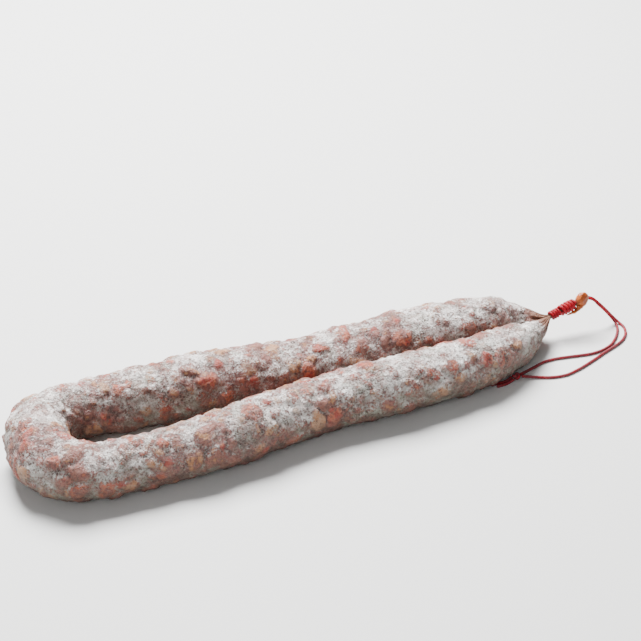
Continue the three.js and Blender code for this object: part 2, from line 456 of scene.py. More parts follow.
@dataclass(frozen=True)
class CuredMeatFinish:
    """Coarse cured meat that shows through its casing under a patchy white bloom."""

    matrix: Colour = (0.30, 0.135, 0.117)
    matrix_dark: Colour = (0.11, 0.050, 0.045)
    lumps: tuple[tuple[float, Colour], ...] = (
        (0.00, (0.31, 0.052, 0.036)),
        (0.20, (0.43, 0.128, 0.068)),
        (0.36, (0.18, 0.062, 0.050)),
        (0.56, (0.29, 0.122, 0.090)),
        (0.70, (0.18, 0.078, 0.060)),
        (0.84, (0.42, 0.190, 0.085)),
        (1.00, (0.44, 0.250, 0.150)),
    )
    # Painted shade: the meat's darker tones on faces that point down.
    shaded_meat: Colour = (0.155, 0.076, 0.054)
    shaded_meat_dark: Colour = (0.060, 0.036, 0.028)
    grit: Colour = (0.50, 0.33, 0.26)
    # Dark of the pits and pepper, also used as painted shade in the low places between the lumps.
    pit_and_hollow_shade: Colour = (0.085, 0.052, 0.042)
    neck: Colour = (0.165, 0.064, 0.034)
    neck_pale: Colour = (0.25, 0.118, 0.070)
    # Painted shade in the neck's creases.
    neck_crease_shade: Colour = (0.10, 0.030, 0.018)
    knob: Colour = (0.60, 0.135, 0.014)
    knob_dark: Colour = (0.26, 0.050, 0.010)
    bloom: Colour = (1.0, 0.965, 0.94)
    # Painted shade: the bloom's grey on faces that point down.
    bloom_shaded: Colour = (0.30, 0.305, 0.255)
    bloom_grey: Colour = (0.205, 0.205, 0.162)
    patch_scale: float = 48.0
    grain_scale: float = 820.0
    softness: float = 0.26
    relief_depth: float = 2.3 * MM

    def make(self, bloom: bpy.types.NodeTree, mottle: bpy.types.NodeTree) -> bpy.types.Material:
        """Build the material.

        Args:
            bloom: The powdery bloom group.
            mottle: The mottle group.

        Returns:
            The finished material.
        """
        material, bench, place, shader = start_material("cured_meat")
        meat = self._meat_colour(bench, mottle, place)
        powder = bench.group(bloom, Vector=place, Cover=self._cover(bench, place), Patch_Scale=self.patch_scale,
                             Grain_Scale=self.grain_scale, Softness=self.softness)
        mask = powder.outputs["Mask"]
        veil = bench.ramp(bench.cloud(place, 130.0, 3.0, 0.6, 0.8), 0.36, 0.60, 0.50, 0.98)
        shown = bench.combine("MULTIPLY", mask, veil)
        colour = bench.blend(shown, meat, self._bloom_colour(bench, place))
        bench.feed(shader.inputs["Base Color"], self._pits_and_hollow_shade(bench, place, colour))

        bare = bench.ramp(bench.attribute("knob"), 0.0, 1.0, 0.5, 0.38)
        bench.feed(shader.inputs["Roughness"], bench.ramp(mask, 0.0, 1.0, bare, 0.92))
        shader.inputs["Specular IOR Level"].default_value = 0.4
        bench.feed(shader.inputs["Normal"], self._relief(bench, place, mask))
        return material

    def _meat_colour(self, bench: NodeBench, mottle: bpy.types.NodeTree,
                     place: bpy.types.NodeSocket) -> bpy.types.NodeSocket:
        """Colour of the meat, fat and bare casing under the bloom.

        Args:
            bench: The tree being built.
            mottle: The mottle group.
            place: Object coordinates.

        Returns:
            The colour.
        """
        def tones(scale: float, first: Colour, second: Colour) -> bpy.types.NodeSocket:
            """Mottle two tones of one kind of meat.

            Args:
                scale: Blotches in a metre.
                first: One tone.
                second: The other tone.

            Returns:
                The mottled colour.
            """
            node = bench.group(mottle, Vector=place, Scale=scale, First=first, Second=second)
            return node.outputs["Color"]

        colour = tones(240.0, self.matrix, self.matrix_dark)
        pale_grains = bench.ramp(bench.cloud(place, 620.0, 2.0, 0.6), 0.55, 0.68)
        colour = bench.blend(bench.combine("MULTIPLY", pale_grains, 0.6), colour, self.grit)

        kinds = bench.add("ValToRGB")
        while len(kinds.color_ramp.elements) < len(self.lumps):
            kinds.color_ramp.elements.new(1.0)
        for element, (position, tone) in zip(kinds.color_ramp.elements, self.lumps):
            element.position, element.color = position, (*tone, 1.0)
        stray = bench.combine("MULTIPLY", bench.combine("SUBTRACT", bench.cloud(place, 210.0), 0.5), 1.5)
        bench.feed(kinds.inputs["Fac"], bench.combine("ADD", bench.attribute("kind"), stray))
        edge = bench.combine("SUBTRACT", bench.cloud(place, 300.0, 3.0, 0.65), 0.5)
        ragged = bench.combine("MULTIPLY", edge, 1.3)
        lump = bench.ramp(bench.combine("ADD", bench.attribute("lump"), ragged), 0.02, 0.85)
        colour = bench.blend(lump, colour, kinds.outputs["Color"])
        # Painted shade: faces that point down turn to a darker, duller brown.
        low = bench.ramp(bench.attribute("top"), -0.60, 0.45, 0.80, 0.0)
        colour = bench.blend(low, colour, tones(190.0, self.shaded_meat, self.shaded_meat_dark))
        colour = bench.blend(bench.attribute("neck"), colour, tones(150.0, self.neck, self.neck_pale))
        colour = bench.blend(bench.attribute("knob"), colour, tones(170.0, self.knob, self.knob_dark))
        # Painted shade: creases, the hollows of pleats and folds, and the neck under the binding turn dark.
        crease_shade_colour = bench.blend(bench.attribute("knob"), self.neck_crease_shade, self.knob_dark)
        return bench.blend(bench.combine("MULTIPLY", bench.attribute("crease_shade"), 0.75), colour, crease_shade_colour)

    def _cover(self, bench: NodeBench, place: bpy.types.NodeSocket) -> bpy.types.NodeSocket:
        """How much of the surface the bloom covers at each place, from 0 to 1.

        Args:
            bench: The tree being built.
            place: Object coordinates.

        Returns:
            The cover.
        """
        # Partly the thicker bloom on top and partly painted light: faces that point up get more white, the very
        # top most of all.
        cover = bench.ramp(bench.attribute("top"), -0.6, 0.8, 0.47, 0.53)
        cover = bench.combine("ADD", cover, bench.ramp(bench.attribute("top"), 0.66, 1.0, 0.0, 0.13))
        rubbed = bench.ramp(bench.cloud(place, 26.0, 2.0, 0.5, 0.4), 0.36, 0.64, -0.11, 0.12)
        cover = bench.combine("ADD", cover, rubbed)
        # Creases also get less bloom, which adds to their painted shade.
        for name, loss in (("lump", 0.38), ("neck", 0.42), ("crease_shade", 0.30), ("knob", 2.0)):
            cover = bench.combine("SUBTRACT", cover, bench.combine("MULTIPLY", bench.attribute(name), loss))
        return cover

    def _bloom_colour(self, bench: NodeBench, place: bpy.types.NodeSocket) -> bpy.types.NodeSocket:
        """Colour of the powder, from clean white to a grey that leans to green, with painted shade that makes
        it greyer on faces that point down.

        Args:
            bench: The tree being built.
            place: Object coordinates.

        Returns:
            The colour.
        """
        thin = bench.ramp(bench.cloud(place, 70.0, 3.0, 0.6, 0.5), 0.42, 0.66)
        speckle = bench.ramp(bench.cloud(place, 1150.0, 2.0, 0.7), 0.46, 0.66)
        share = bench.combine("ADD", bench.combine("MULTIPLY", thin, 0.55),
                             bench.combine("MULTIPLY", speckle, 0.6))
        # Painted shade: the bloom turns darker and greyer as its faces turn down.
        shaded_to_lit_bloom = bench.blend(bench.ramp(bench.attribute("top"), -0.25, 0.88), self.bloom_shaded, self.bloom)
        return bench.blend(bench.combine("MINIMUM", share, 1.0), shaded_to_lit_bloom, self.bloom_grey)

    def _pits_and_hollow_shade(self, bench: NodeBench, place: bpy.types.NodeSocket,
                  colour: bpy.types.NodeSocket) -> bpy.types.NodeSocket:
        """Dark pits and grains of pepper, thicker in some places than in others, and painted shade in the low
        places between the lumps.

        Args:
            bench: The tree being built.
            place: Object coordinates.
            colour: The colour round the pits.

        Returns:
            The colour with its pits and painted shade.
        """
        pepper = bench.ramp(bench.cells(place, 400.0), 0.16, 0.34, 1.0, 0.0)
        pits = bench.ramp(bench.cloud(place, 470.0, 3.0, 0.65, 0.4), 0.34, 0.46, 1.0, 0.0)
        zones = bench.ramp(bench.cloud(place, 62.0, 3.0, 0.6), 0.38, 0.60, 0.25, 1.0)
        pits = bench.combine("MAXIMUM", pepper, pits)
        share = bench.combine("MULTIPLY", pits, zones)
        # Painted shade: the low places between the lumps turn darker.
        share = bench.combine("ADD", share, bench.combine("MULTIPLY", bench.attribute("hollow_shade"), 0.22))
        bare = bench.ramp(bench.attribute("knob"), 0.0, 0.5, 0.74, 0.0)
        return bench.blend(bench.combine("MULTIPLY", share, bare), colour, self.pit_and_hollow_shade)

    def _relief(self, bench: NodeBench, place: bpy.types.NodeSocket,
                mask: bpy.types.NodeSocket) -> bpy.types.NodeSocket:
        """Fine relief of grains and powder.

        Args:
            bench: The tree being built.
            place: Object coordinates.
            mask: Where the bloom lies.

        Returns:
            The normal.
        """
        height = bench.combine("ADD", bench.cloud(place, 420.0, 4.0, 0.7, 0.3),
                              bench.combine("MULTIPLY", mask, 0.3))
        bump = bench.add("Bump")
        bench.feed(bump.inputs["Strength"], bench.ramp(bench.attribute("knob"), 0.0, 1.0, 0.9, 0.25))
        bump.inputs["Distance"].default_value = self.relief_depth
        bench.feed(bump.inputs["Height"], height)
        return bump.outputs["Normal"]


@dataclass(frozen=True)
class TwineFinish:
    """Red food twine: smooth twisted fibres, a little duller and darker where it lies low."""

    red: Colour = (0.36, 0.003, 0.012)
    dark_red: Colour = (0.21, 0.002, 0.008)
    # Darker, duller red for the twine near the table.
    low_darkening: Colour = (0.16, 0.040, 0.048)

    def make(self, bloom: bpy.types.NodeTree, mottle: bpy.types.NodeTree) -> bpy.types.Material:
        """Build the material.

        Args:
            bloom: The powdery bloom group.
            mottle: The mottle group.

        Returns:
            The finished material.
        """
        material, bench, place, shader = start_material("red_twine")
        strands = bench.group(mottle, Vector=place, Scale=420.0, First=self.red, Second=self.dark_red)
        height = bench.add("SeparateXYZ")
        bench.feed(height.inputs[0], place)
        # The twine turns darker in patches towards the table.
        low = bench.ramp(height.outputs["Z"], 1.5 * MM, 12 * MM, 0.62, 0.1)
        low_darkening = bench.group(bloom, Vector=place, Cover=low, Patch_Scale=160.0, Grain_Scale=2200.0,
                           Softness=0.2)
        share = bench.combine("MULTIPLY", low_darkening.outputs["Mask"], 0.8)
        bench.feed(shader.inputs["Base Color"], bench.blend(share, strands.outputs["Color"], self.low_darkening))
        bench.feed(shader.inputs["Roughness"], bench.ramp(height.outputs["Z"], 2 * MM, 12 * MM, 0.70, 0.50))
        shader.inputs["Specular IOR Level"].default_value = 0.22
        bump = bench.add("Bump")
        bump.inputs["Strength"].default_value = 0.4
        bump.inputs["Distance"].default_value = 0.15 * MM
        bench.feed(bump.inputs["Height"], bench.cloud(place, 3500.0, 2.0, 0.6))
        bench.feed(shader.inputs["Normal"], bump.outputs["Normal"])
        return material


@dataclass(frozen=True)
class TableFinish:
    """A plain pale table top."""

    colour: Colour = (0.66, 0.66, 0.65)

    def make(self) -> bpy.types.Material:
        """Build the material.

        Returns:
            The finished material.
        """
        material = bpy.data.materials.new("pale_table")
        material.use_nodes = True
        shader = material.node_tree.nodes["Principled BSDF"]
        shader.inputs["Base Color"].default_value = (*self.colour, 1.0)
        shader.inputs["Roughness"].default_value = 0.7
        return material


# ---- The sausage ----
@dataclass
class SausageSkin:
    """The folded sausage: two legs, the fold, the gathered necks and the knob of dry casing."""

    lump_size: float = 11.5 * MM
    lump_height: float = 1.45 * MM
    crumb_size: float = 6.2 * MM
    crumb_height: float = 1.0 * MM
    grain_size: float = 3.2 * MM
    grain_height: float = 0.35 * MM
    swell_height: float = 0.6 * MM
    grit_height: float = 0.12 * MM
    pleat_height: float = 0.55 * MM
    wrinkle_height: float = 0.55 * MM
    neck_length: float = 21 * MM
    plain_length: float = 24 * MM
    knob_length: float = 8.6 * MM
    knob_fold_height: float = 0.32 * MM
    knob_stretch: float = 0.22
    fold_centre: tuple[float, float] = (-136.5 * MM, 0.9 * MM)
    fold_reach: float = 34 * MM
    twine_room: float = 1.25 * MM
    subdivisions: int = 2
    merge_distance: float = 0.001 * MM
    lowest_height: float = 0.02 * MM

    def build(self, node: bpy.types.Object) -> bpy.types.Object:
        """Shape the skin over the sausage's solid.

        Args:
            node: The sausage's solid.

        Returns:
            The skin.
        """
        skin = add_piece("sausage_skin", node.data.copy())
        self._make_even_grid(skin)
        apply_modifier(skin, "SUBSURF", levels=self.subdivisions, render_levels=self.subdivisions)
        self._raise_relief(skin)
        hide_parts("sausage")
        return skin

    def _make_even_grid(self, skin: bpy.types.Object) -> None:
        """Merge the solid's loose triangles into rings of quads and halve the body's lengthways.

        Args:
            skin: A copy of the solid.
        """
        bpy.context.tool_settings.mesh_select_mode = (False, True, False)
        bpy.ops.object.mode_set(mode="EDIT")
        bpy.ops.mesh.select_all(action="SELECT")
        bpy.ops.mesh.remove_doubles(threshold=self.merge_distance)
        bpy.ops.mesh.select_all(action="DESELECT")
        bpy.ops.object.mode_set(mode="OBJECT")
        self._select_edges(skin.data, self._diagonals(skin.data))
        bpy.ops.object.mode_set(mode="EDIT")
        bpy.ops.mesh.dissolve_edges(use_verts=False)
        bpy.ops.mesh.select_all(action="DESELECT")
        bpy.ops.object.mode_set(mode="OBJECT")
        rings = self._ring_numbers(skin.data)
        body_end = BINDING_START.x - self.neck_length
        between = set()
        for edge in skin.data.edges:
            first, second = edge.vertices
            before_neck = max(skin.data.vertices[i].co.x for i in edge.vertices) < body_end
            if rings[first] != rings[second] and before_neck:
                between.add(edge.index)
        self._select_edges(skin.data, between)
        bpy.ops.object.mode_set(mode="EDIT")
        bpy.ops.mesh.subdivide(number_cuts=1)
        bpy.ops.object.mode_set(mode="OBJECT")

    @staticmethod
    def _select_edges(mesh: bpy.types.Mesh, chosen: set[int]) -> None:
        """Select some edges and nothing else.

        Args:
            mesh: The mesh, in object mode.
            chosen: Numbers of the edges.
        """
        for edge in mesh.edges:
            edge.select = edge.index in chosen

    @staticmethod
    def _diagonals(mesh: bpy.types.Mesh) -> set[int]:
        """Find the edges that split a quad in two: the longest of both triangles beside them.

        Args:
            mesh: The merged triangles.

        Returns:
            Numbers of the edges.
        """
        lengths = [
            (mesh.vertices[edge.vertices[0]].co - mesh.vertices[edge.vertices[1]].co).length
            for edge in mesh.edges
        ]
        spokes = [0] * len(mesh.vertices)
        for edge in mesh.edges:
            for i in edge.vertices:
                spokes[i] += 1
        votes = [0] * len(mesh.edges)
        for face in mesh.polygons:
            sides = [mesh.loops[i].edge_index for i in face.loop_indices]
            votes[max(sides, key=lambda i: lengths[i])] += 1
        return {
            edge.index for edge in mesh.edges
            if votes[edge.index] == 2 and max(spokes[i] for i in edge.vertices) < TIP_SPOKES
        }

    @staticmethod
    def _ring_numbers(mesh: bpy.types.Mesh) -> list[int]:
        """Count each point's steps along the sausage from the tip of the knob.

        Args:
            mesh: The merged mesh.

        Returns:
            The number of steps for each point.
        """
        neighbours: list[list[int]] = [[] for _ in mesh.vertices]
        for edge in mesh.edges:
            first, second = edge.vertices
            neighbours[first].append(second)
            neighbours[second].append(first)
        tip = max(range(len(mesh.vertices)), key=lambda i: mesh.vertices[i].co.x)
        rings = [-1] * len(mesh.vertices)
        rings[tip] = 0
        front = [tip]
        while front:
            following = []
            for i in front:
                for other in neighbours[i]:
                    if rings[other] < 0:
                        rings[other] = rings[i] + 1
                        following.append(other)
            front = following
        return rings

    def _raise_relief(self, skin: bpy.types.Object) -> None:
        """Push the lumps out, pleat the necks, and store what each point is made of, which way it faces, and
        where shade is painted on it.

        Args:
            skin: The smooth skin.
        """
        mesh = skin.data
        places = [point.co.copy() for point in mesh.vertices]
        normals = [Vector(normal.vector) for normal in mesh.vertex_normals]
        tree = BVHTree.FromPolygons(places, [tuple(face.vertices) for face in mesh.polygons])
        marks = {name: [0.0] * len(places) for name in SKIN_MARKS}
        beside = [
            loop_points([*STRAND_A_ROUTE[-3:], *TAIL_A_ROUTE]),
            loop_points([*STRAND_B_ROUTE[-3:], *TAIL_B_ROUTE]),
        ]
        for i, (place, normal) in enumerate(zip(places, normals)):
            neck = self._neck_share(place)
            knob = smoothstep(-0.5 * MM, 0.8 * MM, place.x - (KNOB_END_X - self.knob_length))
            lump, kind, grain = self._grain(place)
            body = 1 - max(neck, knob)
            lump *= smoothstep(self.plain_length, 2 * self.plain_length, BINDING_START.x - place.x)
            pleat = self._pleats(place, normal) * neck * (1 - knob)
            wrinkle = self._fold_wrinkles(place, normal) * body
            fold = self._knob_folds(place, normal) * knob
            height = body * grain + self.pleat_height * pleat + self.wrinkle_height * wrinkle
            height += self.knob_fold_height * fold
            room = tree.ray_cast(place + normal * 0.02 * MM, normal, 4 * MM)[3]
            if room is not None:
                height = min(height, room / 2 - 0.1 * MM)
            height = min(height, min(distance_to_run(place, run) for run in beside) - self.twine_room)
            moved = self._stretch_knob(place, knob) + normal * height
            mesh.vertices[i].co = (moved.x, moved.y, max(moved.z, self.lowest_height))
            marks["lump"][i], marks["kind"][i] = lump * body, kind
            # Painted shade where the skin lies low between the lumps.
            marks["hollow_shade"][i] = body * smoothstep(0.0, -0.75 * MM, grain)
            marks["neck"][i], marks["knob"][i] = neck, knob
            # Painted shade under the twine binding and in the hollows of pleats, folds and wrinkles.
            bound = smoothstep(-1.5 * MM, 0.5 * MM, place.x - BINDING_START.x) * (1 - knob)
            marks["crease_shade"][i] = max(bound, smoothstep(0.1, 0.9, -min(pleat, fold, wrinkle)))
        mesh.update()
        marks["top"] = [normal.vector.z for normal in mesh.vertex_normals]
        store_marks(mesh, marks)

    def _stretch_knob(self, place: Vector, share: float) -> Vector:
        """Make the knob longer across the binding than along it.

        Args:
            place: The point.
            share: How far the point belongs to the knob.

        Returns:
            The point's new place.
        """
        along = KNOB_END_X - self.knob_length / 2 - BINDING_START.x
        middle = BINDING_START + Vector((along, 0.0, along * BINDING_SLOPE))
        length_way = Vector((0.35, 0.0, 1.0)).normalized()
        reach = (place - middle).dot(length_way)
        moved = place + length_way * reach * self.knob_stretch * share
        moved.y += (middle.y - place.y) * 0.12 * share
        return moved

    def _neck_share(self, place: Vector) -> float:
        """How far a point belongs to the gathered necks.

        Args:
            place: The point.

        Returns:
            The share, from 0 to 1.
        """
        before = BINDING_START.x - place.x
        ragged = 0.3 * noise.noise(place * 130) + 0.15 * noise.noise(place * 420)
        return smoothstep(0.0, 1.0, 1.25 - before / self.neck_length * (1 + ragged) * 1.25)

    def _grain(self, place: Vector) -> tuple[float, float, float]:
        """Find what shows at a point of the body, and how proud it stands.

        Args:
            place: The point.

        Returns:
            How far the point lies on a lump, the lump's kind, and the height.
        """
        pulled = place + noise.noise_vector(place * 150) * 2.2 * MM
        pulled += noise.noise_vector(place * 480) * 0.7 * MM
        lump, lump_kind = self._lumps(pulled, self.lump_size, 0.35)
        crumb, crumb_kind = self._lumps(pulled + Vector((0.31, 0.17, 0.05)), self.crumb_size, 0.35)
        grain, _ = noise.voronoi(pulled / self.grain_size)
        height = self.lump_height * (lump - 0.25) + self.crumb_height * (crumb - 0.3) * (1 - 0.5 * lump)
        height += self.grain_height * (0.5 - smoothstep(0.1, 0.8, grain[0]))
        height += self.swell_height * noise.noise(place * 50)
        height += self.grit_height * noise.fractal(place * 800, 0.9, 2.0, 3)
        kind = lump_kind if lump > 0.7 * crumb else crumb_kind
        return max(lump, 0.7 * crumb), kind, height

    @staticmethod
    def _lumps(place: Vector, size: float, bare: float) -> tuple[float, float]:
        """Scatter round lumps of one size.

        Args:
            place: The point.
            size: Distance between lumps.
            bare: Share of the places that hold no lump.

        Returns:
            How far the point lies on a lump, from 0 to 1, and the lump's kind, from 0 to 1.
        """
        distances, centres = noise.voronoi(place / size)
        draw = noise.cell(centres[0] * 17.31 + Vector((3.1, 1.7, 5.3))) % 1.0
        kind = noise.cell(centres[0] * 23.7 + Vector((9.2, 4.4, 1.9))) % 1.0
        dome = 1 - smoothstep(0.18, 0.80, distances[0])
        dome *= smoothstep(0.0, 0.16, distances[1] - distances[0])
        return dome * smoothstep(bare - 0.1, bare + 0.1, draw), kind

    @staticmethod
    def _pleats(place: Vector, normal: Vector) -> float:
        """Pleats that run along a gathered neck.

        Args:
            place: The point.
            normal: The way the skin faces there.

        Returns:
            Height of the pleats, from -1 to 1.
        """
        angle = math.atan2(normal.z, normal.y)
        strength = smoothstep(-1 * MM, 7 * MM, BINDING_START.x - place.x)
        wander = 3.5 * noise.noise(Vector((place.x * 60, place.y * 130, place.z * 130)))
        return strength * (0.6 * math.sin(9 * angle + wander) + 0.4 * math.sin(17 * angle - wander))

    def _fold_wrinkles(self, place: Vector, normal: Vector) -> float:
        """Creases on the inner side of the fold.

        Args:
            place: The point.
            normal: The way the skin faces there.

        Returns:
            Height of the creases, from -1 to 1.
        """
        away = Vector((place.x - self.fold_centre[0], place.y - self.fold_centre[1], 0))
        inward = max(0.0, 0.35 - normal.dot(away.normalized())) / 1.35
        near = smoothstep(1.3 * self.fold_reach, 0.6 * self.fold_reach, away.length)
        near *= smoothstep(14 * MM, -4 * MM, away.x)
        wander = 5.0 * noise.noise(place * 70)
        strength = 0.55 + 0.45 * noise.noise(place * 110)
        return inward * near * strength * math.sin(13 * math.atan2(away.y, -away.x) + wander)

    def _knob_folds(self, place: Vector, normal: Vector) -> float:
        """Folds in the knob of dry casing.

        Args:
            place: The point.
            normal: The way the skin faces there.

        Returns:
            Height of the folds, from -1 to 1.
        """
        angle = math.atan2(normal.z, normal.y)
        along = min(max((KNOB_END_X - place.x) / self.knob_length, 0.0), 1.0)
        fold = 0.6 * math.sin(3 * angle + 6 * along) + 0.4 * math.sin(7 * angle - 9 * along)
        return math.sin(math.pi * along) * fold


@dataclass
class CasingTail:
    """The dry end of the casing, folded back from the knob beneath the binding."""

    route: tuple[tuple[float, float, float], ...] = (
        (-3.4, -0.9, 18.3), (-6.4, -1.8, 17.0), (-9.6, -3.1, 15.05), (-13.0, -2.95, 14.3),
        (-16.0, -2.6, 13.6),
    )
    radii: tuple[float, ...] = (2.0, 1.8, 1.15, 0.65, 0.35)

    def build(self) -> bpy.types.Object:
        """Make the tail as a soft, wrinkled strip.

        Returns:
            The tail.
        """
        curve = bpy.data.curves.new("casing_tail", "CURVE")
        curve.dimensions = "3D"
        curve.bevel_depth = MM
        curve.bevel_resolution = 4
        curve.resolution_u = 10
        curve.use_fill_caps = True
        spline = curve.splines.new("NURBS")
        spline.points.add(len(self.route) - 1)
        spline.order_u = 3
        spline.use_endpoint_u = True
        for target, point, radius in zip(spline.points, loop_points(self.route), self.radii):
            target.co = (*point, 1.0)
            target.radius = radius
        tail = add_piece("casing_tail", curve)
        bpy.ops.object.convert(target="MESH")
        mesh = tail.data
        normals = [Vector(normal.vector) for normal in mesh.vertex_normals]
        for point, normal in zip(mesh.vertices, normals):
            point.co += normal * 0.5 * MM * noise.noise(point.co * 420)
        marks = {name: [0.0] * len(mesh.vertices) for name in SKIN_MARKS}
        marks["knob"] = [1.0] * len(mesh.vertices)
        # Painted shade over the whole tail, which lies folded under the binding.
        marks["crease_shade"] = [0.35] * len(mesh.vertices)
        store_marks(mesh, marks)
        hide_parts("sausage")
        return tail


# ---- Twine ----
@dataclass
class Twine:
    """Twine of three plies laid round each other."""

    diameter: float = TWINE_DIAMETER
    plies: int = 3
    lay_length: float = 5.5 * MM
    step: float = 0.45 * MM
    ply_offset: float = 0.34
    fray_spread: float = 1.0

    @property
    def ply_radius(self) -> float:
        """Radius of one ply, pressed into the others.

        Returns:
            The radius.
        """
        return 0.84 * self.diameter / 2

    def smooth_route(self, points: Sequence[Vector]) -> list[Vector]:
        """Run a smooth curve through route points, in even steps.

        Args:
            points: The route's points.

        Returns:
            Points along the curve.
        """
        ends = [points[0] * 2 - points[1], *points, points[-1] * 2 - points[-2]]
        fine = []
        for around in zip(ends, ends[1:], ends[2:], ends[3:]):
            count = max(2, round((around[2] - around[1]).length / self.step))
            for k in range(count):
                fine.append(self._between(around, k / count))
        fine.append(points[-1].copy())
        return fine

    @staticmethod
    def _between(around: Sequence[Vector], t: float) -> Vector:
        """Point on a smooth curve's middle stretch, found by repeated blending.

        Args:
            around: Four route points; the stretch runs from the second to the third.
            t: Share of the stretch, from 0 to 1.

        Returns:
            The point.
        """
        knots = [0.0]
        for first, second in zip(around, around[1:]):
            knots.append(knots[-1] + max((second - first).length, 1e-7) ** 0.5)
        u = knots[1] + (knots[2] - knots[1]) * t
        level = list(around)
        for span in (1, 2):
            level = [
                level[i].lerp(level[i + 1], (u - knots[i]) / (knots[i + span] - knots[i]))
                for i in range(4 - span)
            ]
        return level[0].lerp(level[1], (u - knots[1]) / (knots[2] - knots[1]))

    def lay(self, name: str, route: Sequence[Vector], closed: bool = False,
            fray: float = 0.0) -> bpy.types.Object:
        """Lay three plies round a route and join them into one piece.

        Args:
            name: The piece's name.
            route: Even points along the twine's middle.
            closed: Whether the route meets itself.
            fray: Length over which the plies part at the route's end.

        Returns:
            The piece, a mesh.
        """
        frames = self._frames(route, closed)
        plies = []
        for ply in range(self.plies):
            points = self._ply_points(route, frames, 2 * math.pi * ply / self.plies, closed, fray)
            plies.append(self._ply(f"{name}_ply_{ply}", points, closed))
        deselect_all()
        for ply_piece in plies:
            ply_piece.select_set(True)
        bpy.context.view_layer.objects.active = plies[0]
        bpy.ops.object.convert(target="MESH")
        bpy.ops.object.join()
        piece = bpy.context.object
        piece.name = piece.data.name = name
        return piece

    @staticmethod
    def _frames(route: Sequence[Vector], closed: bool) -> list[tuple[Vector, Vector]]:
        """Carry a pair of directions across the twine along its route without a twist.

        Args:
            route: Points along the middle.
            closed: Whether the route meets itself.

        Returns:
            Two directions across the twine at each point.
        """
        count = len(route)
        frames = []
        across = Vector((0.0, 0.0, 1.0))
        for i in range(count):
            before = route[i - 1] if closed or i > 0 else route[0]
            after = route[(i + 1) % count] if closed or i < count - 1 else route[-1]
            along = (after - before).normalized()
            across = across - along * across.dot(along)
            if across.length < 1e-4:
                across = along.orthogonal()
            across.normalize()
            frames.append((across.copy(), along.cross(across)))
        return frames

    def _ply_points(self, route: Sequence[Vector], frames: Sequence[tuple[Vector, Vector]],
                    start: float, closed: bool, fray: float) -> list[Vector]:
        """Points along one ply.

        Args:
            route: Points along the twine's middle.
            frames: Directions across the twine.
            start: The ply's angle at the start.
            closed: Whether the route meets itself.
            fray: Length over which the plies part at the end.

        Returns:
            The ply's points.
        """
        lengths = [0.0]
        for first, second in zip(route, route[1:]):
            lengths.append(lengths[-1] + (second - first).length)
        total = lengths[-1]
        turns = total / self.lay_length
        if closed:
            turns = round(turns)
        offset = self.ply_offset * self.diameter / 2
        points = []
        for place, (across, other), length in zip(route, frames, lengths):
            angle = start + 2 * math.pi * turns * length / total
            apart = 1.0
            if fray:
                apart += self.fray_spread * smoothstep(total - fray, total, length)
            reach = offset * apart
            points.append(place + across * reach * math.cos(angle) + other * reach * math.sin(angle))
        return points

    def _ply(self, name: str, points: Sequence[Vector], closed: bool) -> bpy.types.Object:
        """Make one ply as a round curve.

        Args:
            name: The curve's name.
            points: Its points.
            closed: Whether it meets itself.

        Returns:
            The curve object.
        """
        curve = bpy.data.curves.new(name, "CURVE")
        curve.dimensions = "3D"
        curve.bevel_depth = self.ply_radius
        curve.bevel_resolution = 2
        curve.use_fill_caps = True
        spline = curve.splines.new("POLY")
        spline.points.add(len(points) - 1)
        for target, point in zip(spline.points, points):
            target.co = (*point, 1.0)
        spline.use_cyclic_u = closed
        piece = bpy.data.objects.new(name, curve)
        bpy.context.scene.collection.objects.link(piece)
        return piece


def loop_points(route: Iterable[Sequence[float]]) -> list[Vector]:
    """Put a given route in the part's frame.

    Args:
        route: Points in mm from the knob's end and the binding.

    Returns:
        The points in metres.
    """
    corner = Vector((KNOB_END_X, BINDING_START.y, 0.0))
    return [corner + Vector(point) * MM for point in route]


@dataclass
class TwineLoop:
    """The doubled loop that the sausage hangs by: two strands, the knot and its two ends."""

    twine: Twine
    strand_a_length: float = 131 * MM
    strand_b_length: float = 120 * MM
    knot_centre: tuple[float, float, float] = (-68.4, -32.9, 2.5)
    knot_reach: float = 0.7 * MM
    knot_points: int = 130
    fray: float = 1.5 * MM

    def build(self) -> list[bpy.types.Object]:
        """Lay the loop.

        Returns:
            Its pieces: both strands, the knot and both ends.
        """
        knot = self._knot()
        ends = [
            self._run("loose_end_a", TAIL_A_ROUTE, "twine_tail_a", self.fray),
            self._run("loose_end_b", TAIL_B_ROUTE, "twine_tail_b", self.fray),
        ]
        strands = []
        for name, route, node, length in (
            ("loop_strand_a", STRAND_A_ROUTE, "twine_strand_a", self.strand_a_length),
            ("loop_strand_b", STRAND_B_ROUTE, "twine_strand_b", self.strand_b_length),
        ):
            strand = self._run(name, route, node)
            path = self.twine.smooth_route(loop_points(route))
            strands.append(strand)
        return [*strands, knot, *ends]

    def _run(self, name: str, route: Sequence[Sequence[float]], node: str,
             fray: float = 0.0) -> bpy.types.Object:
        """Lay one run of twine in place of its solid.

        Args:
            name: The piece's name.
            route: Its listed points.
            node: The solid that it stands for.
            fray: Length over which its end frays.

        Returns:
            The piece.
        """
        piece = self.twine.lay(name, self.twine.smooth_route(loop_points(route)), fray=fray)
        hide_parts(node)
        return piece

    def _knot(self) -> bpy.types.Object:
        """Tie the overhand knot that joins the strands.

        Returns:
            The piece.
        """
        middle = loop_points([self.knot_centre])[0]
        route = []
        for i in range(self.knot_points):
            t = 2 * math.pi * i / self.knot_points
            x = math.sin(t) + 2 * math.sin(2 * t)
            y = math.cos(t) - 2 * math.cos(2 * t)
            z = -math.sin(3 * t)
            route.append(middle + Vector((x, y * 0.85, z)) * self.knot_reach)
        piece = self.twine.lay("overhand_knot", route, closed=True)
        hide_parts("loop_knot")
        return piece


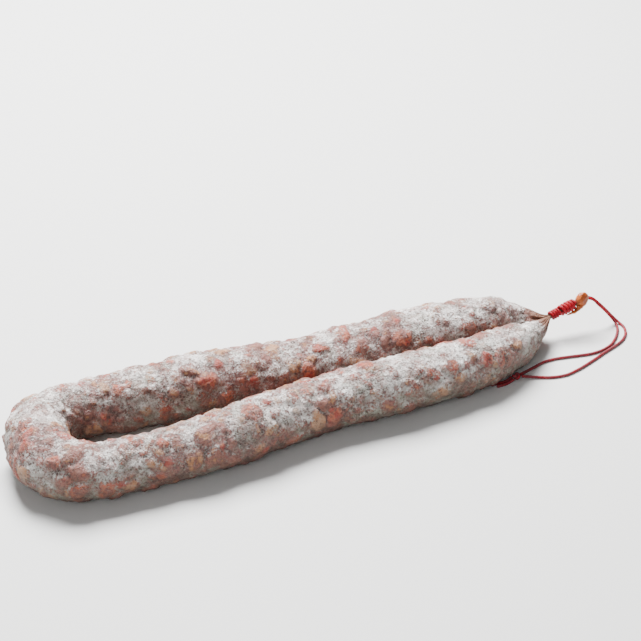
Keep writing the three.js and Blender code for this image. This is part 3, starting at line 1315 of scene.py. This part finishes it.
@dataclass
class Binding:
    """The twine wound round the gathered necks: a neat coil, then a thicker hitch."""

    twine: Twine
    core_radius: float = 1.3 * MM
    coil_start: float = 0.8 * MM
    coil_turns: float = 3.55
    coil_slack: float = 0.2 * MM
    hitch_start: float = 7.6 * MM
    hitch_diameter: float = 1.95 * MM
    hitch_turns: float = 2.4
    hitch_pitch: float = 4.2 * MM
    hitch_slack: float = 0.05 * MM
    hitch_bulge: float = 0.3 * MM
    points_per_turn: int = 26

    def build(self) -> list[bpy.types.Object]:
        """Wind the binding: one strand in the coil, and two loose ones side by side in the hitch.

        Returns:
            Its pieces.
        """
        coil_radius = self.core_radius + self.coil_slack + self.twine.diameter / 2
        pieces = [self._wind(self.twine, "neck_coil", self.coil_start, self.coil_turns,
                             1.02 * self.twine.diameter, coil_radius, 0.0, 0.0, "binding_coil")]
        loose = Twine(diameter=self.hitch_diameter, lay_length=7 * MM)
        hitch_radius = self.core_radius + self.hitch_slack + loose.diameter / 2
        for name, angle in (("hitch_strand_a", 0.0), ("hitch_strand_b", math.pi)):
            pieces.append(self._wind(loose, name, self.hitch_start, self.hitch_turns, self.hitch_pitch,
                                     hitch_radius, self.hitch_bulge, angle, "binding_hitch"))
        return pieces

    def _wind(self, twine: Twine, name: str, start: float, turns: float, pitch: float, radius: float,
              bulge: float, first_angle: float, node: str) -> bpy.types.Object:
        """Wind one run of twine round the binding's axis.

        Args:
            twine: The twine to wind.
            name: The piece's name.
            start: Distance from the binding's start, along its axis.
            turns: Number of turns.
            pitch: Advance for each turn.
            radius: Distance of the twine's middle from the axis.
            bulge: How much further out the middle turns lie.
            first_angle: Angle round the axis where it starts.
            node: The solid that it stands for.

        Returns:
            The piece.
        """
        tilt = Matrix.Rotation(-math.atan(BINDING_SLOPE), 4, "Y")
        count = round(turns * self.points_per_turn)
        route = []
        for i in range(count + 1):
            t = i / count
            angle = first_angle + 2 * math.pi * turns * t
            reach = radius + bulge * math.sin(math.pi * t)
            local = Vector((start + turns * pitch * t, reach * math.cos(angle), reach * math.sin(angle)))
            route.append(BINDING_START + tilt @ local)
        piece = twine.lay(name, route)
        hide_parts(node)
        return piece


# ---- Studio ----
@dataclass
class Studio:
    """A pale table under soft light, and the camera."""

    camera_turn: float = math.radians(25.6)
    camera_rise: float = math.radians(32.0)
    camera_distance: float = 1.18
    camera_target: tuple[float, float, float] = (0.0401, 0.0801, 0.0)
    lens: float = 107.6
    table_size: float = 6.0
    room_strength: float = 0.27
    top_light: tuple[float, float, float] = (0.1, 0.8, 1.2)
    side_light: tuple[float, float, float] = (-0.9, -0.9, 0.8)

    def place_camera(self) -> bpy.types.Object:
        """Aim the camera.

        Returns:
            The camera.
        """
        data = bpy.data.cameras.new("camera")
        data.lens = self.lens
        data.clip_end = 50.0
        camera = bpy.data.objects.new("camera", data)
        bpy.context.scene.collection.objects.link(camera)
        level = math.cos(self.camera_rise) * self.camera_distance
        away = Vector((
            -level * math.sin(self.camera_turn),
            -level * math.cos(self.camera_turn),
            math.sin(self.camera_rise) * self.camera_distance,
        ))
        camera.location = Vector(self.camera_target) + away
        camera.rotation_euler = (-away).to_track_quat("-Z", "Y").to_euler()
        bpy.context.scene.camera = camera
        return camera

    def lay_table(self, material: bpy.types.Material) -> bpy.types.Object:
        """Lay the table top.

        Args:
            material: Its finish.

        Returns:
            The table top.
        """
        deselect_all()
        bpy.ops.mesh.primitive_plane_add(size=self.table_size, location=(0, 0, 0))
        table = bpy.context.object
        table.name = "table_top"
        table.data.materials.append(material)
        return table

    def light(self) -> None:
        """Hang the soft lights and fill the room with pale light."""
        world = bpy.data.worlds.new("pale_room")
        world.use_nodes = True
        background = world.node_tree.nodes["Background"]
        background.inputs["Color"].default_value = (0.97, 0.98, 1.0, 1.0)
        background.inputs["Strength"].default_value = self.room_strength
        bpy.context.scene.world = world
        self._softbox("top_light", self.top_light, 0.75, 120.0)
        self._softbox("side_light", self.side_light, 0.7, 6.0)

    @staticmethod
    def _softbox(name: str, place: Sequence[float], size: float, power: float) -> None:
        """Hang one square light that faces the object.

        Args:
            name: The light's name.
            place: Where it hangs.
            size: Its width.
            power: Its power in watts.
        """
        data = bpy.data.lights.new(name, "AREA")
        data.size = size
        data.energy = power
        lamp = bpy.data.objects.new(name, data)
        lamp.location = place
        lamp.rotation_euler = (-Vector(place)).to_track_quat("-Z", "Y").to_euler()
        bpy.context.scene.collection.objects.link(lamp)


def main() -> None:
    """Build the scene in order and report each piece."""
    logging.basicConfig(level=logging.INFO, format="%(name)s: %(message)s")
    # Without a seed noise_vector starts from the clock, and every run gives another skin.
    noise.seed_set(NOISE_SEED)
    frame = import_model()

    studio = Studio()
    studio.place_camera()
    bloom, mottle = powdery_bloom_group(), mottle_group()
    red_twine = TwineFinish().make(bloom, mottle)
    cured_meat = CuredMeatFinish().make(bloom, mottle)

    twine = Twine()
    bound = [*TwineLoop(twine).build(), *Binding(twine).build()]
    casing = [SausageSkin().build(frame["nodes"]["sausage"]), CasingTail().build()]
    for pieces, material, slot in ((bound, red_twine, "twine"), (casing, cured_meat, "cured_meat")):
        for piece in pieces:
            dress(piece, material)
            LOG.info("%s: %d faces", piece.name, len(piece.data.polygons))

    studio.lay_table(TableFinish().make())
    studio.light()


if __name__ == "__main__":
    main()
